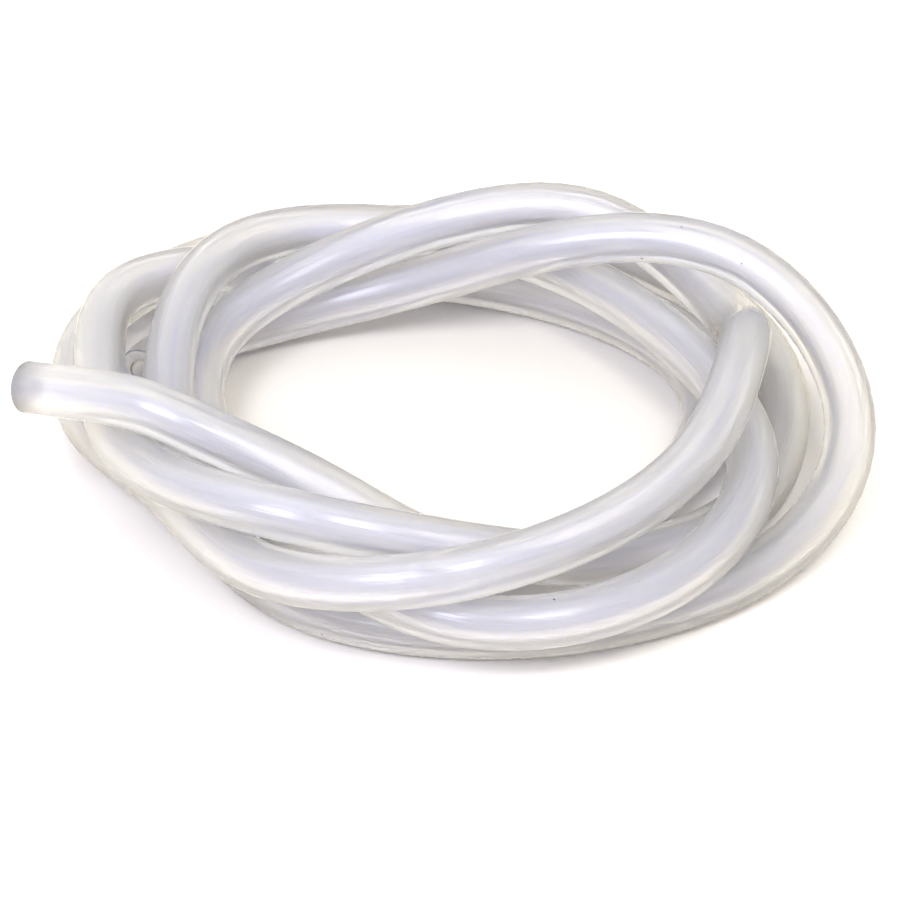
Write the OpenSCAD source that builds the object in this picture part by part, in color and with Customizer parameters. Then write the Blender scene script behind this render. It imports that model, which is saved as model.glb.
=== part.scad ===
// Silicone tubing coil: one length of hollow tube, lying loosely coiled on a table.
// Millimetres, +Z up, z = 0 is the table. +X is to the right of the photo and +Y is away from the camera.
// The route is a smooth curve (a uniform cubic B-spline). It starts at the free end on the left, and each
// turn passes twelve clock positions round the coil, at a radius and a height chosen by eye from the photo.

/* [Tube] */

// Outside diameter of the tube
tube_od = 10; // [6:0.5:14]
// Thickness of the tube's wall
tube_wall = 2.5; // [1:0.25:2.75]
// Length of the straight, truly round stretch at the free end, where a barb goes in
free_end_length = 12; // [8:1:20]

/* [Lay] */

// Gap left between strands that lie against each other
lay_gap = 0.3; // [0.2:0.1:1]

/* [Quality] */

// Sides of the swept tube
tube_sides = 12; // [8:1:12]
// Rings along the whole tube
ring_total = 97; // [80:1:120]
// Facets of the round free end
$fn = 48; // [24:8:96]

/* [Hidden] */

// One pitch is a tube's width and the gap beside it, and every place on the route is counted in pitches.
pitch = tube_od + lay_gap;
tube_radius = tube_od / 2;
bore_radius = tube_radius - tube_wall;

// The round free end laps the swept tube by this much, with its walls this far outside the swept ones.
seam_lap = 0.5;
seam_step = 0.05;

// The swept tube has flat sides, and the ones underneath lie on the table.
rest_height = (tube_radius - seam_step) * cos(180 / tube_sides);

// Middle of the coil's box as seen from above, in pitches, which goes to the origin.
coil_middle = [-0.046, 0.251];

// Each turn goes once round, anticlockwise from the left as seen from above.
clock_step = 30;
clock_start = 180;
// A B-spline runs inside its points, so they stand a little further out than the curve that they make.
outward = 3 / (2 + cos(clock_step));

// Start of the sweep, behind the free end and over the left bundle: x, y and z of two points, in pitches.
free_end_points = [[-6.73, -2.64, 3.13], [-5.55, -3.4, 3.44], [-4.35, -3.8, 2.98]];

// From the free end down under the other turns, along the table inside right, and up the left side.
turn_1 = [
    [4.37, 2.02], [4.25, 0.5], [4.2, 0.5], [4.1, 0.5], [4.8, 0.5], [5.3, 0.5],
    [5.4, 0.5], [5.8, 0.5], [6.7, 0.75], [7.7, 1.75]
];
// Over the left front, under the top strand, outside right, and round the back on the table.
turn_2 = [
    [6.33, 1.74], [6.68, 2.14], [6.9, 3.03], [5.85, 2.1], [5.3, 0.8], [5.95, 0.5],
    [6.2, 0.5], [7, 0.5], [7.7, 0.5], [7.9, 0.5], [8.3, 0.5], [8.4, 0.5]
];
// Top strand of the front and of the right curl, then the upper strand of the back.
turn_3 = [
    [6.85, 0.5], [5.62, 1.52], [7.28, 1.6], [7.73, 2.63], [6.1, 2.3], [5.45, 2.35],
    [5.29, 3.04], [6.38, 0.66], [6.12, 2.7], [4.45, 2.72], [4.73, 1.86], [5.4, 1.2]
];
// Second strand of the front, then over the strands on the table at the back, and on top at the left.
turn_4 = [
    [4.7, 0.5], [3.8, 0.5], [5.76, 1.74], [7.46, 1.22], [7.53, 1.44], [6.4, 1.6],
    [5.1, 1.4], [4.5, 1.55], [4.8, 1.57], [5.6, 1.65], [6.5, 1.8], [5.6, 2.6]
];
// Outermost strand of the front and right, then over the back and down under the left bundle.
turn_5 = [
    [5.34, 1.3], [5.14, 0.5], [6.16, 0.5], [6.35, 0.5], [6.75, 0.5], [7.3, 0.5],
    [7.7, 1.2], [6.4, 3.05], [4.2, 2.72], [4.1, 1.53], [5.1, 0.6], [6.2, 0.5]
];
// Second end of the tube, hidden in the left bundle.
hidden_end_point = [-6, 2.35, 0.5];

function in_mm(point) = [
    (point.x - coil_middle.x) * pitch,
    (point.y - coil_middle.y) * pitch,
    (point.z - 0.5) * pitch + rest_height
];

function around(pass, index) =
    let (angle = clock_start + index * clock_step, out = pass[0] * outward)
    in_mm([out * cos(angle), out * sin(angle), pass[1]]);

// The free end stands in for the first two places of the first turn.
first_place = 2;
passes = concat(turn_1, turn_2, turn_3, turn_4, turn_5);
route = concat(
    [for (point = free_end_points) in_mm(point)],
    [for (index = [0 : len(passes) - 1]) around(passes[index], index + first_place)],
    [in_mm(hidden_end_point)]
);

// Points beyond both ends, which make the curve end straight at its last points.
spans = len(route) - 1;
before_first = 2 * route[0] - route[1];
after_last = 2 * route[spans] - route[spans - 1];
knots = concat([before_first], route, [after_last]);

function blend(a, b, c, d, t) = (
    pow(1 - t, 3) * a
    + (3 * pow(t, 3) - 6 * pow(t, 2) + 4) * b
    + (-3 * pow(t, 3) + 3 * pow(t, 2) + 3 * t + 1) * c
    + pow(t, 3) * d
) / 6;

function blend_slope(a, b, c, d, t) = (
    -pow(1 - t, 2) * a
    + (3 * pow(t, 2) - 4 * t) * b
    + (-3 * pow(t, 2) + 2 * t + 1) * c
    + pow(t, 2) * d
) / 2;

function unit(v) = v / norm(v);

// Where each ring lies along the route, counted in spans.
stations = [for (ring = [0 : ring_total - 1]) ring * spans / (ring_total - 1)];

function span_at(along) = min(floor(along), spans - 1);

function place(along) =
    let (k = span_at(along))
    blend(knots[k], knots[k + 1], knots[k + 2], knots[k + 3], along - k);

function heading(along) =
    let (k = span_at(along))
    unit(blend_slope(knots[k], knots[k + 1], knots[k + 2], knots[k + 3], along - k));

// The straight free end carries on from the sweep's first ring, out to the left.
free_heading = -heading(0);
free_tilt = acos(free_heading.z);
free_turn = atan2(free_heading.y, free_heading.x);

// Corners of one ring, square to the route, with its first side level.
function ring_corners(ring, radius) =
    let (
        centre = place(stations[ring]),
        ahead = heading(stations[ring]),
        side = unit(cross([0, 0, 1], ahead)),
        above = cross(ahead, side)
    )
    [for (corner = [0 : tube_sides - 1])
        let (angle = (corner + 0.5) * 360 / tube_sides)
        centre + radius * (cos(angle) * side + sin(angle) * above)];

module swept_wall() {
    outer = [for (ring = [0 : ring_total - 1]) each ring_corners(ring, tube_radius - seam_step)];
    inner = [for (ring = [0 : ring_total - 1]) each ring_corners(ring, bore_radius - seam_step)];
    inner_start = len(outer);
    last_ring = (ring_total - 1) * tube_sides;
    corners = [0 : tube_sides - 1];
    outer_faces = [for (ring = [0 : ring_total - 2], corner = corners)
        let (a = ring * tube_sides + corner, b = ring * tube_sides + (corner + 1) % tube_sides)
        each [[a, a + tube_sides, b], [b, a + tube_sides, b + tube_sides]]];
    inner_faces = [for (face = outer_faces) [for (k = [2, 1, 0]) face[k] + inner_start]];
    first_end = [for (corner = corners)
        let (a = corner, b = (corner + 1) % tube_sides)
        each [[a, b, a + inner_start], [b, b + inner_start, a + inner_start]]];
    last_end = [for (face = first_end) [for (k = [2, 1, 0]) face[k] + last_ring]];
    polyhedron(points = concat(outer, inner), faces = concat(outer_faces, inner_faces, first_end, last_end));
}

module round_free_end() {
    translate(place(0) - seam_lap * free_heading)
        rotate([0, free_tilt, free_turn])
            difference() {
                cylinder(h = free_end_length, r = tube_radius);
                translate([0, 0, -seam_lap])
                    cylinder(h = free_end_length + 2 * seam_lap, r = bore_radius);
            }
}

module tubing_coil() {
    color([0.86, 0.87, 0.88])
        union() {
            swept_wall();
            round_free_end();
        }
}

tubing_coil();
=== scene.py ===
# %% [markdown]
# A coil of soft silicone lab tubing, lying loose on a pale table. It is one length of hollow tube, in about
# five turns that pass over and under each other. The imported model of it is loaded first, because
# everything here is placed in its frame: metres, with +Z up and the table at Z = 0.

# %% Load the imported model
from math import cos, pi, radians, sin

import bmesh
import bpy
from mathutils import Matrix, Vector


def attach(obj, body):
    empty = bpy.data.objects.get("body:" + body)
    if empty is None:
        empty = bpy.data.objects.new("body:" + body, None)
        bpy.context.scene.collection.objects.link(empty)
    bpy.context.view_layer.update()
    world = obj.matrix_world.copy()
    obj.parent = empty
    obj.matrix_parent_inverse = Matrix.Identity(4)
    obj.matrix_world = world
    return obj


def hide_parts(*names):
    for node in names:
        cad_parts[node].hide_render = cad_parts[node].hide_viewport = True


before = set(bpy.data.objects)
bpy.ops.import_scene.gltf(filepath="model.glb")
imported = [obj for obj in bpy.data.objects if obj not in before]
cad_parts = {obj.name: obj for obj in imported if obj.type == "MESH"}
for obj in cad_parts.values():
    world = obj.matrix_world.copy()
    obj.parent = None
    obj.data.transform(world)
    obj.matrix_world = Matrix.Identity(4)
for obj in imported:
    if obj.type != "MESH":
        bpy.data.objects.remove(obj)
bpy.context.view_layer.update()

# %% [markdown]
# The camera comes first, because it settles how the coil is seen. Coils that lie near and far look alike
# in size, so the lens is long and stands well back. It looks down at about a third of a right angle.
# A small shift moves the picture without turning the camera, so upright things stay upright.

# %% Camera
PHOTO_SIDE = 900
LOOK_DOWN = radians(32.5)
DISTANCE = 0.8549
AIM = Vector((0.0005, -0.0026, 0.0081))
FOCAL_LENGTH = 175.5
SHIFT_IN_PIXELS = (-2, -26)

camera = bpy.data.objects.new("camera", bpy.data.cameras.new("camera"))
bpy.context.scene.collection.objects.link(camera)
camera.data.lens = FOCAL_LENGTH
camera.data.sensor_width = 36
camera.data.shift_x = SHIFT_IN_PIXELS[0] / PHOTO_SIDE
camera.data.shift_y = SHIFT_IN_PIXELS[1] / PHOTO_SIDE
camera.data.clip_start = 0.05
camera.data.clip_end = 20
camera.location = AIM + DISTANCE * Vector((0, -cos(LOOK_DOWN), sin(LOOK_DOWN)))
camera.rotation_euler = (pi / 2 - LOOK_DOWN, 0, 0)
bpy.context.scene.camera = camera
print("camera stands at", camera.location)

# %% [markdown]
# The tube's route is the same table of points as in the part's source. Each turn passes twelve places,
# like the hours of a clock, and at each one the table says how far out and how high the tube's middle
# is, counted in pitches. A pitch is the tube's width and the small gap to the next one.
# A table like this can be tuned by eye against a picture, one place at a time.

# %% Tube sizes
TUBE_WIDTH = 0.010
BORE_WIDTH = 0.005
PITCH = 0.0103
MIDDLE = (-0.046, 0.251)
FREE_END_LENGTH = 0.0115

# %% Turns of the coil
FREE_END = [(-6.73, -2.64, 3.13), (-5.55, -3.4, 3.44), (-4.35, -3.8, 2.98)]
TURN_1 = [
    (4.37, 2.02), (4.25, 0.5), (4.2, 0.5), (4.1, 0.5), (4.8, 0.5), (5.3, 0.5),
    (5.4, 0.5), (5.8, 0.5), (6.7, 0.75), (7.7, 1.75),
]
TURN_2 = [
    (6.33, 1.74), (6.68, 2.14), (6.9, 3.03), (5.85, 2.1), (5.3, 0.8), (5.95, 0.5),
    (6.2, 0.5), (7, 0.5), (7.7, 0.5), (7.9, 0.5), (8.3, 0.5), (8.4, 0.5),
]
TURN_3 = [
    (6.85, 0.5), (5.62, 1.52), (7.28, 1.6), (7.73, 2.63), (6.1, 2.3), (5.45, 2.35),
    (5.29, 3.04), (6.38, 0.66), (6.12, 2.7), (4.45, 2.72), (4.73, 1.86), (5.4, 1.2),
]
TURN_4 = [
    (4.7, 0.5), (3.8, 0.5), (5.76, 1.74), (7.46, 1.22), (7.53, 1.44), (6.4, 1.6),
    (5.1, 1.4), (4.5, 1.55), (4.8, 1.57), (5.6, 1.65), (6.5, 1.8), (5.6, 2.6),
]
TURN_5 = [
    (5.34, 1.3), (5.14, 0.5), (6.16, 0.5), (6.35, 0.5), (6.75, 0.5), (7.3, 0.5),
    (7.7, 1.2), (6.4, 3.05), (4.2, 2.72), (4.1, 1.53), (5.1, 0.6), (6.2, 0.5),
]
HIDDEN_END = (-6, 2.35, 0.5)

# %% From the table to points in metres
CLOCK_STEP = radians(30)
CLOCK_START = radians(180)
OUTWARD = 3 / (2 + cos(CLOCK_STEP))


def in_metres(x, y, height):
    """A place in pitches, where a height of one half lies on the table."""
    return Vector((
        (x - MIDDLE[0]) * PITCH,
        (y - MIDDLE[1]) * PITCH,
        (height - 0.5) * PITCH + TUBE_WIDTH / 2,
    ))


def around(hour, reach, height):
    """The point at an hour of the clock, a little further out, because the curve cuts its corners."""
    angle = CLOCK_START + hour * CLOCK_STEP
    return in_metres(reach * OUTWARD * cos(angle), reach * OUTWARD * sin(angle), height)


passes = TURN_1 + TURN_2 + TURN_3 + TURN_4 + TURN_5
route = [in_metres(*place) for place in FREE_END]
route += [around(hour, *place) for hour, place in enumerate(passes, start=2)]
route.append(in_metres(*HIDDEN_END))
before_first = 2 * route[0] - route[1]
tip = route[0] + FREE_END_LENGTH * (route[0] - route[1]).normalized()
beyond_tip = 2 * tip - before_first
after_last = 2 * route[-1] - route[-2]
print("the route has", len(route), "points")

# %% [markdown]
# The line that the tube follows is a NURBS curve of order 4, the same smooth cubic as in the part's
# source. Turned into a mesh, it gives points close together, and their distances add up to the tube's
# length. That is the simplest way to measure any curve.
#
# Two faults are known. At the free end the point before the first lies further out than the tip, so the
# line runs 1.3 mm past the tip and turns back, and the fold closes the bore there. In a few places two
# strands' middles come within 9.7 mm of each other, so the strands press into each other by up to 0.3 mm.

# %% Line of the tube
STEPS_PER_POINT = 8

curve = bpy.data.curves.new("line", "CURVE")
curve.dimensions = "3D"
spline = curve.splines.new("NURBS")
spline.points.add(len(route) + 3)
for point, place in zip(spline.points, [beyond_tip, tip, before_first, *route, after_last]):
    point.co = (*place, 1)
spline.order_u = 4
spline.resolution_u = STEPS_PER_POINT
drawn = bpy.data.objects.new("line", curve)
line = bpy.data.meshes.new_from_object(drawn)
path = [vertex.co.copy() for vertex in line.vertices]
bpy.data.meshes.remove(line)
bpy.data.objects.remove(drawn)
bpy.data.curves.remove(curve)

along = [0.0]
for here, ahead in zip(path, path[1:]):
    along.append(along[-1] + (ahead - here).length)

# %% [markdown]
# The look of clear rubber comes from its thick wall, so this is a real hollow tube. Its skin is one closed
# sheet: out along the outside, over the cut end, back through the bore and over the other cut end. Each
# ring of points is turned with the line and never twisted about it, as a soft tube's own skin would be.
# A knife leaves the rims sharp but not perfectly so, so a narrow slope runs round each.
# The UV map says how far along the tube a place is, in metres, and how far round, from 0 to 1.

# %% Rings of the hollow tube
SIDES = 40
RIM = 0.00025
OUTER = TUBE_WIDTH / 2
INNER = BORE_WIDTH / 2
last = len(path) - 1

headings = [(b - a).normalized() for a, b in zip(path, path[1:])]
headings.append(headings[-1])
side = headings[0].cross(Vector((0, 0, 1))).normalized()
sides = [side]
for before, after in zip(headings, headings[1:]):
    side = (before.rotation_difference(after) @ side).normalized()
    sides.append(side)

# Each ring: which point of the path, how far beyond it, and the ring's radius.
outside = [(0, 0, OUTER - RIM), (0, RIM, OUTER)]
outside += [(index, 0, OUTER) for index in range(1, last)]
outside += [(last, -RIM, OUTER), (last, 0, OUTER - RIM)]
inside = [(last, 0, INNER + RIM), (last, -RIM, INNER)]
inside += [(index, 0, INNER) for index in range(last - 1, 0, -1)]
inside += [(0, RIM, INNER), (0, 0, INNER + RIM)]
rings = outside + inside

# A band of faces runs from each ring to the following one. These two bands are the cut faces.
cut_bands = (len(outside) - 1, len(rings) - 1)
print("there are", len(rings), "rings of", SIDES, "points")

# %% Skin of the hollow tube
skin = bmesh.new()
uv_map = skin.loops.layers.uv.new("tube")
loops_of_points = []
for index, beyond, radius in rings:
    centre = path[index] + beyond * headings[index]
    up = headings[index].cross(sides[index])
    turns = [2 * pi * k / SIDES for k in range(SIDES)]
    loops_of_points.append([
        skin.verts.new(centre + radius * (cos(turn) * sides[index] + sin(turn) * up))
        for turn in turns
    ])
for number, ring in enumerate(rings):
    following = (number + 1) % len(rings)
    for k in range(SIDES):
        corners = [
            (number, k, ring[0]), (number, k + 1, ring[0]),
            (following, k + 1, rings[following][0]), (following, k, rings[following][0]),
        ]
        face = skin.faces.new([loops_of_points[n][j % SIDES] for n, j, _ in corners])
        for loop, (_, j, index) in zip(face.loops, corners):
            loop[uv_map].uv = (along[index], j / SIDES)
bmesh.ops.recalc_face_normals(skin, faces=skin.faces)

tube_mesh = bpy.data.meshes.new("tubing")
skin.to_mesh(tube_mesh)
skin.free()
tube_mesh.shade_smooth()
tube_mesh.set_sharp_from_angle(angle=radians(30))
tubing = bpy.data.objects.new("tubing", tube_mesh)
bpy.context.scene.collection.objects.link(tubing)
print("the tube has", len(tube_mesh.polygons), "faces")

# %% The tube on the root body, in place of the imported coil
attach(tubing, "root")
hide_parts("tubing_coil")

# %% [markdown]
# Shared patterns are node groups, so that each can be looked at and reused by itself. The first one turns
# the UV map into a place on an endless cylinder: two axes go round it and the third along it. Patterns
# made from that place have no seam, and can be stretched along the tube.

# %% Node helpers
def new_group(name, inputs, outputs):
    """An empty shader group with its sockets, given as pairs of a name and a kind."""
    group = bpy.data.node_groups.new(name, "ShaderNodeTree")
    for label, kind in inputs:
        group.interface.new_socket(label, in_out="INPUT", socket_type=kind)
    for label, kind in outputs:
        group.interface.new_socket(label, in_out="OUTPUT", socket_type=kind)
    entry = group.nodes.new("NodeGroupInput")
    result = group.nodes.new("NodeGroupOutput")
    return group, entry, result


def maths(tree, operation, first, second=None):
    """A Math node's output. Each operand is a number or another node's output."""
    node = tree.nodes.new("ShaderNodeMath")
    node.operation = operation
    for slot, value in zip(node.inputs, (first, second)):
        if isinstance(value, (int, float)):
            slot.default_value = value
        elif value is not None:
            tree.links.new(value, slot)
    return node.outputs[0]


def ramp(tree, value, low, high, to_low=0, to_high=1):
    """A Map Range node's output: value from low to high becomes to_low to to_high, and stops there."""
    node = tree.nodes.new("ShaderNodeMapRange")
    tree.links.new(value, node.inputs["Value"])
    node.inputs["From Min"].default_value = low
    node.inputs["From Max"].default_value = high
    node.inputs["To Min"].default_value = to_low
    node.inputs["To Max"].default_value = to_high
    return node.outputs["Result"]


def blend(tree, factor, first, second):
    """A colour Mix node's output, from the first colour to the second. Each is plain or a node's output."""
    node = tree.nodes.new("ShaderNodeMix")
    node.data_type = "RGBA"
    tree.links.new(factor, node.inputs["Factor"])
    for label, colour in (("A", first), ("B", second)):
        if isinstance(colour, tuple):
            node.inputs[label].default_value = (*colour, 1)
        else:
            tree.links.new(colour, node.inputs[label])
    return node.outputs["Result"]


# %% Place on the tube
place_group, entry, result = new_group("tube_place", [], [("Place", "NodeSocketVector")])
uv = place_group.nodes.new("ShaderNodeUVMap")
uv.uv_map = "tube"
parts = place_group.nodes.new("ShaderNodeSeparateXYZ")
place_group.links.new(uv.outputs["UV"], parts.inputs[0])
turn = maths(place_group, "MULTIPLY", parts.outputs["Y"], 2 * pi)
joined = place_group.nodes.new("ShaderNodeCombineXYZ")
place_group.links.new(maths(place_group, "COSINE", turn), joined.inputs["X"])
place_group.links.new(maths(place_group, "SINE", turn), joined.inputs["Y"])
place_group.links.new(parts.outputs["X"], joined.inputs["Z"])
place_group.links.new(joined.outputs[0], result.inputs["Place"])

# %% [markdown]
# Tube is pressed out through a ring-shaped die, which leaves very faint lines along it. They can't be felt,
# but they break each highlight into long soft streaks. Noise that is drawn out a long way along the tube
# and stays fine round it gives them. The same group gives a slower noise, which varies the roughness and
# sways the border of the painted shade on the tube.

# %% Die lines
lines_group, entry, result = new_group(
    "die_lines",
    [("Place", "NodeSocketVector")],
    [("Fine", "NodeSocketFloat"), ("Broad", "NodeSocketFloat")],
)
# For each pattern: how fine it is round the tube, and how quickly it changes along it.
for label, fineness, per_metre in (("Fine", 7.0, 1.6), ("Broad", 1.6, 4.0)):
    stretch = lines_group.nodes.new("ShaderNodeVectorMath")
    stretch.operation = "MULTIPLY"
    stretch.inputs[1].default_value = (fineness, fineness, per_metre * fineness)
    lines_group.links.new(entry.outputs["Place"], stretch.inputs[0])
    noise = lines_group.nodes.new("ShaderNodeTexNoise")
    noise.inputs["Scale"].default_value = 1
    noise.inputs["Detail"].default_value = 2
    lines_group.links.new(stretch.outputs[0], noise.inputs["Vector"])
    lines_group.links.new(noise.outputs["Fac"], result.inputs[label])

# %% [markdown]
# Silicone is slightly sticky and gathers dust: a few dark specks, a fraction of a millimetre across. Voronoi
# cells give one possible speck each, and a random number per cell decides which cells have one.

# %% Dust specks
CELLS_PER_METRE = 260
CELLS_WITHOUT_DUST = 0.88
SPECK_IN_CELL = (0.03, 0.09)

dust_group, entry, result = new_group(
    "dust_specks", [("Position", "NodeSocketVector")], [("Speck", "NodeSocketFloat")]
)
cells = dust_group.nodes.new("ShaderNodeTexVoronoi")
cells.inputs["Scale"].default_value = CELLS_PER_METRE
dust_group.links.new(entry.outputs["Position"], cells.inputs["Vector"])
cell_numbers = dust_group.nodes.new("ShaderNodeSeparateColor")
dust_group.links.new(cells.outputs["Color"], cell_numbers.inputs[0])
chosen = maths(dust_group, "GREATER_THAN", cell_numbers.outputs["Red"], CELLS_WITHOUT_DUST)
speck_size = ramp(dust_group, cell_numbers.outputs["Green"], 0, 1, *SPECK_IN_CELL)
inside_speck = maths(dust_group, "LESS_THAN", cells.outputs["Distance"], speck_size)
dust_group.links.new(maths(dust_group, "MULTIPLY", chosen, inside_speck), result.inputs["Speck"])

# %% [markdown]
# Silicone rubber is milky. Most of the light goes through, bent at the outside and again at the bore, which
# draws pale walls and a slightly darker bore between them. The rest is scattered inside. One
# Principled shader does both: Transmission with some roughness for the clear part, and Subsurface for the
# milky part. The base colour paints light and shade by where the eye stands: a darker lavender, painted
# shade and cool reflection, where the tube faces the eye, over the bore, and a warm white, painted light
# thrown up from the warm table, at its sides. The broad streaks move the border between the two to and fro.

# %% Silicone
# Painted light: the lavender is painted shade and cool reflection over the bore, the warm white painted
# light thrown up at the sides.
BORE_PAINTED_COOL_SHADE = (0.9, 0.902, 0.972)
WALL_PAINTED_WARM_LIGHT = (0.985, 0.965, 0.905)
DUST = (0.12, 0.1, 0.08)
BROAD_RANGE = (0.3, 0.7)
BORDER = (0.2, 0.36)
BORDER_SWAY = (-0.2, 0.2)
ROUGHNESS = (0.13, 0.25)

silicone = bpy.data.materials.new("milky_silicone")
silicone.use_nodes = True
tree = silicone.node_tree
shader = tree.nodes["Principled BSDF"]
shader.inputs["IOR"].default_value = 1.41
shader.inputs["Transmission Weight"].default_value = 0.83
shader.inputs["Subsurface Weight"].default_value = 1
shader.inputs["Subsurface Radius"].default_value = (1, 0.95, 0.85)
shader.inputs["Subsurface Scale"].default_value = 0.01

where = tree.nodes.new("ShaderNodeTexCoord")
tube_place = tree.nodes.new("ShaderNodeGroup")
tube_place.node_tree = place_group
die_lines = tree.nodes.new("ShaderNodeGroup")
die_lines.node_tree = lines_group
tree.links.new(tube_place.outputs["Place"], die_lines.inputs["Place"])
dust = tree.nodes.new("ShaderNodeGroup")
dust.node_tree = dust_group
tree.links.new(where.outputs["Object"], dust.inputs["Position"])

# The facing weight paints light and shade by where the eye stands: painted cool shade in the middle, painted
# warm light at the sides.
facing = tree.nodes.new("ShaderNodeLayerWeight")
facing.inputs["Blend"].default_value = 0.5
sway = ramp(tree, die_lines.outputs["Broad"], *BROAD_RANGE, *BORDER_SWAY)
swayed_facing = maths(tree, "ADD", facing.outputs["Facing"], sway)
painted_light_tint = blend(tree, ramp(tree, swayed_facing, *BORDER), BORE_PAINTED_COOL_SHADE, WALL_PAINTED_WARM_LIGHT)
painted_light_and_dust = blend(tree, dust.outputs["Speck"], painted_light_tint, DUST)
tree.links.new(painted_light_and_dust, shader.inputs["Base Color"])
roughness = ramp(tree, die_lines.outputs["Broad"], *BROAD_RANGE, *ROUGHNESS)
tree.links.new(roughness, shader.inputs["Roughness"])

relief = tree.nodes.new("ShaderNodeBump")
relief.inputs["Strength"].default_value = 0.3
relief.inputs["Distance"].default_value = 0.0004
tree.links.new(die_lines.outputs["Fine"], relief.inputs["Height"])
tree.links.new(relief.outputs["Normal"], shader.inputs["Normal"])
tube_mesh.materials.append(silicone)

# %% [markdown]
# The two cut faces aren't as smooth as the rest, because a knife drags at rubber and leaves it frosted. So
# they scatter more light than the rest. They are the bands of skin that close each end, and a copy of the
# same material does for them, with the clear part turned down and the surface roughened. The fold at the
# free end hides the one there, so it is the hidden end that shows this look.

# %% Cut faces
cut_silicone = silicone.copy()
cut_silicone.name = "cut_silicone"
frosted = cut_silicone.node_tree.nodes["Principled BSDF"]
frosted.inputs["Transmission Weight"].default_value = 0.3
cut_silicone.node_tree.links.remove(frosted.inputs["Roughness"].links[0])
frosted.inputs["Roughness"].default_value = 0.6
tube_mesh.materials.append(cut_silicone)
cut_faces = [face for face in tube_mesh.polygons if face.index // SIDES in cut_bands]
for face in cut_faces:
    face.material_index = 1
print("the two cut ends have", len(cut_faces), "faces")

# %% [markdown]
# The floor is a pale table top, burnt out to white by the light as in the photograph, with only the coil's
# soft shadow left on it. Its own colour is warm, and colours the light that it throws up between the
# strands. The camera sees it darker than that inside the ring, a painted shadow that deepens the real one so
# that it isn't burnt out as well, and a little lighter outside, painted light that pales the real shadow
# there.
# A faint blue glow makes up for the warm colour in the open.

# %% Floor
TABLE = (0.93, 0.87, 0.7)
SEEN_INSIDE_PAINTED_SHADOW = (0.71, 0.675, 0.58)
SEEN_OUTSIDE_PAINTED_LIGHT = (0.96, 0.92, 0.83)
INSIDE_TO_OUTSIDE = (0.05, 0.09)
GLOW = 0.05

floor_mesh = bpy.data.meshes.new("floor")
floor = bpy.data.objects.new("floor", floor_mesh)
shape = bmesh.new()
bmesh.ops.create_grid(shape, x_segments=1, y_segments=1, size=3)
shape.to_mesh(floor_mesh)
shape.free()
bpy.context.scene.collection.objects.link(floor)
table_top = bpy.data.materials.new("table_top")
table_top.use_nodes = True
tree = table_top.node_tree
shader = tree.nodes["Principled BSDF"]
shader.inputs["Roughness"].default_value = 0.9
shader.inputs["Specular IOR Level"].default_value = 0.1
shader.inputs["Emission Color"].default_value = (0.3, 0.4, 1, 1)
rays = tree.nodes.new("ShaderNodeLightPath")
seen = maths(tree, "MAXIMUM", rays.outputs["Is Camera Ray"], rays.outputs["Is Transmission Ray"])
tree.links.new(maths(tree, "MULTIPLY", seen, GLOW), shader.inputs["Emission Strength"])
where = tree.nodes.new("ShaderNodeTexCoord")
distance = tree.nodes.new("ShaderNodeVectorMath")
distance.operation = "LENGTH"
tree.links.new(where.outputs["Object"], distance.inputs[0])
# The camera's floor colour is a painted shadow, darker inside the ring, and painted light, lighter outside
# it.
outside_share = ramp(tree, distance.outputs["Value"], *INSIDE_TO_OUTSIDE)
seen_with_painted_shadow = blend(tree, outside_share, SEEN_INSIDE_PAINTED_SHADOW, SEEN_OUTSIDE_PAINTED_LIGHT)
colour = blend(tree, rays.outputs["Is Camera Ray"], TABLE, seen_with_painted_shadow)
tree.links.new(colour, shader.inputs["Base Color"])
floor_mesh.materials.append(table_top)

# %% [markdown]
# Most of the light is an even pale world, as from a tent of white cloth. A large weak lamp behind and above
# gives the shadow on the near side of the coil. Two smaller ones in front draw the long bright streaks: the
# left one is cool, and with the lavender painted into the silicone's colour it gives the lavender of the
# front strands.

# %% Light
world = bpy.data.worlds.new("studio")
bpy.context.scene.world = world
world.use_nodes = True
sky = world.node_tree.nodes["Background"]
sky.inputs["Color"].default_value = (0.985, 0.975, 0.96, 1)
sky.inputs["Strength"].default_value = 1.05


def softbox(name, place, size, power, colour):
    """A square soft lamp that faces the middle of the coil."""
    lamp = bpy.data.lights.new(name, "AREA")
    lamp.size = size
    lamp.energy = power
    lamp.color = colour
    holder = bpy.data.objects.new(name, lamp)
    bpy.context.scene.collection.objects.link(holder)
    holder.location = place
    holder.rotation_euler = (-Vector(place)).to_track_quat("-Z", "Y").to_euler()


softbox("behind", (-0.25, 0.6, 0.75), 0.5, 0.5, (1, 0.98, 0.94))
softbox("front_left", (-0.3, -0.5, 0.55), 0.3, 5.5, (0.77, 0.78, 1))
softbox("front_right", (0.2, -0.5, 0.75), 0.25, 3.2, (0.96, 0.95, 0.98))

# %% Finish
bpy.context.scene.view_settings.view_transform = "Standard"
